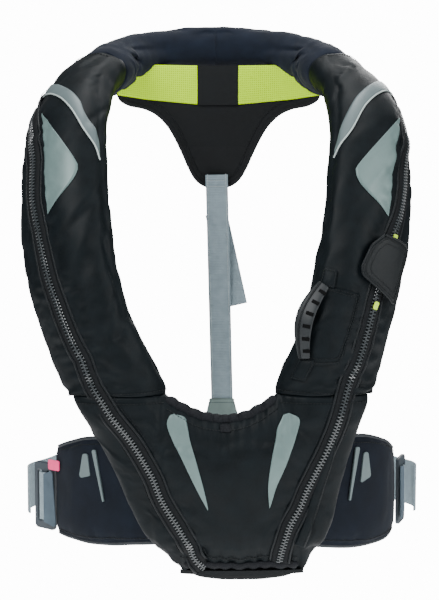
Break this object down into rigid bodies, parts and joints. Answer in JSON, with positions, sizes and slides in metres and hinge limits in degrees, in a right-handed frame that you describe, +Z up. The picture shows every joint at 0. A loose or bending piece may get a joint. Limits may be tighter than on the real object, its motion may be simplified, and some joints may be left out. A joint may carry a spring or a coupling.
{
  "type": "inflatable life jacket",
  "caption": "Horseshoe inflatable life jacket: zipped padded lobes, chest panel, neck yoke, back strap and padded waist belt.",
  "frame": {"origin": "middle of the neck-facing side of the yoke, at the nape", "axes": "+Z up along the jacket, -Y to the wearer's front, +X to the wearer's left"},
  "size_m": [0.4316, 0.2913, 0.5664],
  "materials": {
    "cover_cloth": "woven black nylon",
    "collar_cloth": "soft dark navy fleece",
    "elastic_binding": "ribbed black elastic",
    "lime_mesh": "lime spacer mesh",
    "grey_webbing": "woven grey webbing",
    "wing_cloth": "soft dark navy cloth",
    "reflective_tape": "silver grey reflective tape",
    "black_plastic": "moulded black",
    "buckle_plastic": "moulded grey",
    "zip_tape_cloth": "woven black tape",
    "zip_plastic": "moulded black teeth",
    "lime_plastic": "lime",
    "pink_cloth": "pink tab",
    "bladder_cloth": "coated yellow nylon",
    "steel": "plain steel",
    "head_plastic": "moulded yellow",
    "red_plastic": "moulded red",
    "black_rubber": "black rubber",
    "orange_plastic": "moulded orange"
  },
  "bodies": {
    "jacket": {"back_strap": "grey_webbing", "back_yoke": "cover_cloth", "belt_buckle_left": "buckle_plastic", "belt_buckle_right": "buckle_plastic", "belt_turn_left": "grey_webbing", "belt_turn_right": "grey_webbing", "bladder": "bladder_cloth", "chest_backing": "cover_cloth", "chest_hem": "cover_cloth", "chest_panel": "cover_cloth", "chest_reflector_left": "reflective_tape", "chest_reflector_right": "reflective_tape", "chest_webbing": "grey_webbing", "collar_cover": "collar_cloth", "collar_neck_side": "collar_cloth", "firing_cap": "head_plastic", "firing_head": "head_plastic", "gas_cylinder": "steel", "handle_end_pockets": "cover_cloth", "handle_patch": "cover_cloth", "hem_pad": "cover_cloth", "lever_pin": "steel", "lobe_backing_left": "cover_cloth", "lobe_backing_right": "cover_cloth", "lobe_cover_left": "cover_cloth", "lobe_cover_right": "cover_cloth", "nape_strip": "cover_cloth", "neck_binding": "elastic_binding", "neck_lining_left": "lime_mesh", "neck_lining_right": "lime_mesh", "oral_tube": "black_rubber", "outer_welt": "cover_cloth", "pull_tab": "pink_cloth", "reflective_triangle_left": "reflective_tape", "reflective_triangle_right": "reflective_tape", "shoulder_stripe_left": "reflective_tape", "shoulder_stripe_right": "reflective_tape", "strap_keeper": "grey_webbing", "waist_belt": "grey_webbing", "waist_wing_left": "wing_cloth", "waist_wing_right": "wing_cloth", "whistle": "orange_plastic", "wing_end_tab_left": "grey_webbing", "wing_end_tab_right": "grey_webbing", "wing_reflectors_left": "reflective_tape", "wing_reflectors_right": "reflective_tape", "zip_end_marks": "lime_plastic", "zip_tape_left": "zip_tape_cloth", "zip_tape_right": "zip_tape_cloth", "zip_teeth_left": "zip_plastic", "zip_teeth_right": "zip_plastic"},
    "flap": {"zip_flap": "cover_cloth"},
    "handle": {"grab_handle": "black_plastic"},
    "tail": {"strap_tail": "grey_webbing"},
    "slider": {"zip_slider": "zip_plastic"},
    "pull": {"zip_pull": "zip_plastic"},
    "lever": {"firing_lever": "red_plastic"},
    "valve": {"oral_valve": "red_plastic"},
    "tube_cap": {"oral_tube_cap": "black_plastic"}
  },
  "joints": [
    {"name": "flap_hinge", "type": "hinge", "parent": "jacket", "child": "flap", "pos_m": [0.18877, -0.1883, -0.17534], "axis": [0.2871, 0.281, 0.9158], "range_deg": [0, 120]},
    {"name": "handle_lift", "type": "hinge", "parent": "jacket", "child": "handle", "pos_m": [0.09803, -0.22042, -0.21039], "axis": [0.2564, 0.0694, 0.9641], "range_deg": [0, 25], "stiffness_Nm_per_rad": 0.06},
    {"name": "tail_swing", "type": "hinge", "parent": "jacket", "child": "tail", "pos_m": [-0.001, 0.0389, -0.152], "axis": [1, 0, 0], "range_deg": [0, 60]},
    {"name": "zip_run", "type": "slide", "parent": "jacket", "child": "slider", "axis": [-0.318, -0.216, -0.9231], "range_m": [-0.012, 0.012]},
    {"name": "pull_swing", "type": "hinge", "parent": "slider", "child": "pull", "pos_m": [0.16216, -0.21088, -0.19498], "axis": [0.488, -0.8721, 0.036], "range_deg": [-20, 20]},
    {"name": "lever_pull", "type": "hinge", "parent": "jacket", "child": "lever", "pos_m": [-0.12866, -0.19949, -0.26464], "axis": [-0.2921, -0.9522, 0.089], "range_deg": [0, 80]},
    {"name": "valve_press", "type": "slide", "parent": "jacket", "child": "valve", "axis": [-0.112, -0.2459, -0.9628], "range_m": [0, 0.002], "stiffness_N_per_m": 200},
    {"name": "tube_cap_pull", "type": "slide", "parent": "jacket", "child": "tube_cap", "axis": [0.112, 0.2459, 0.9628], "range_m": [0, 0.008]}
  ]
}
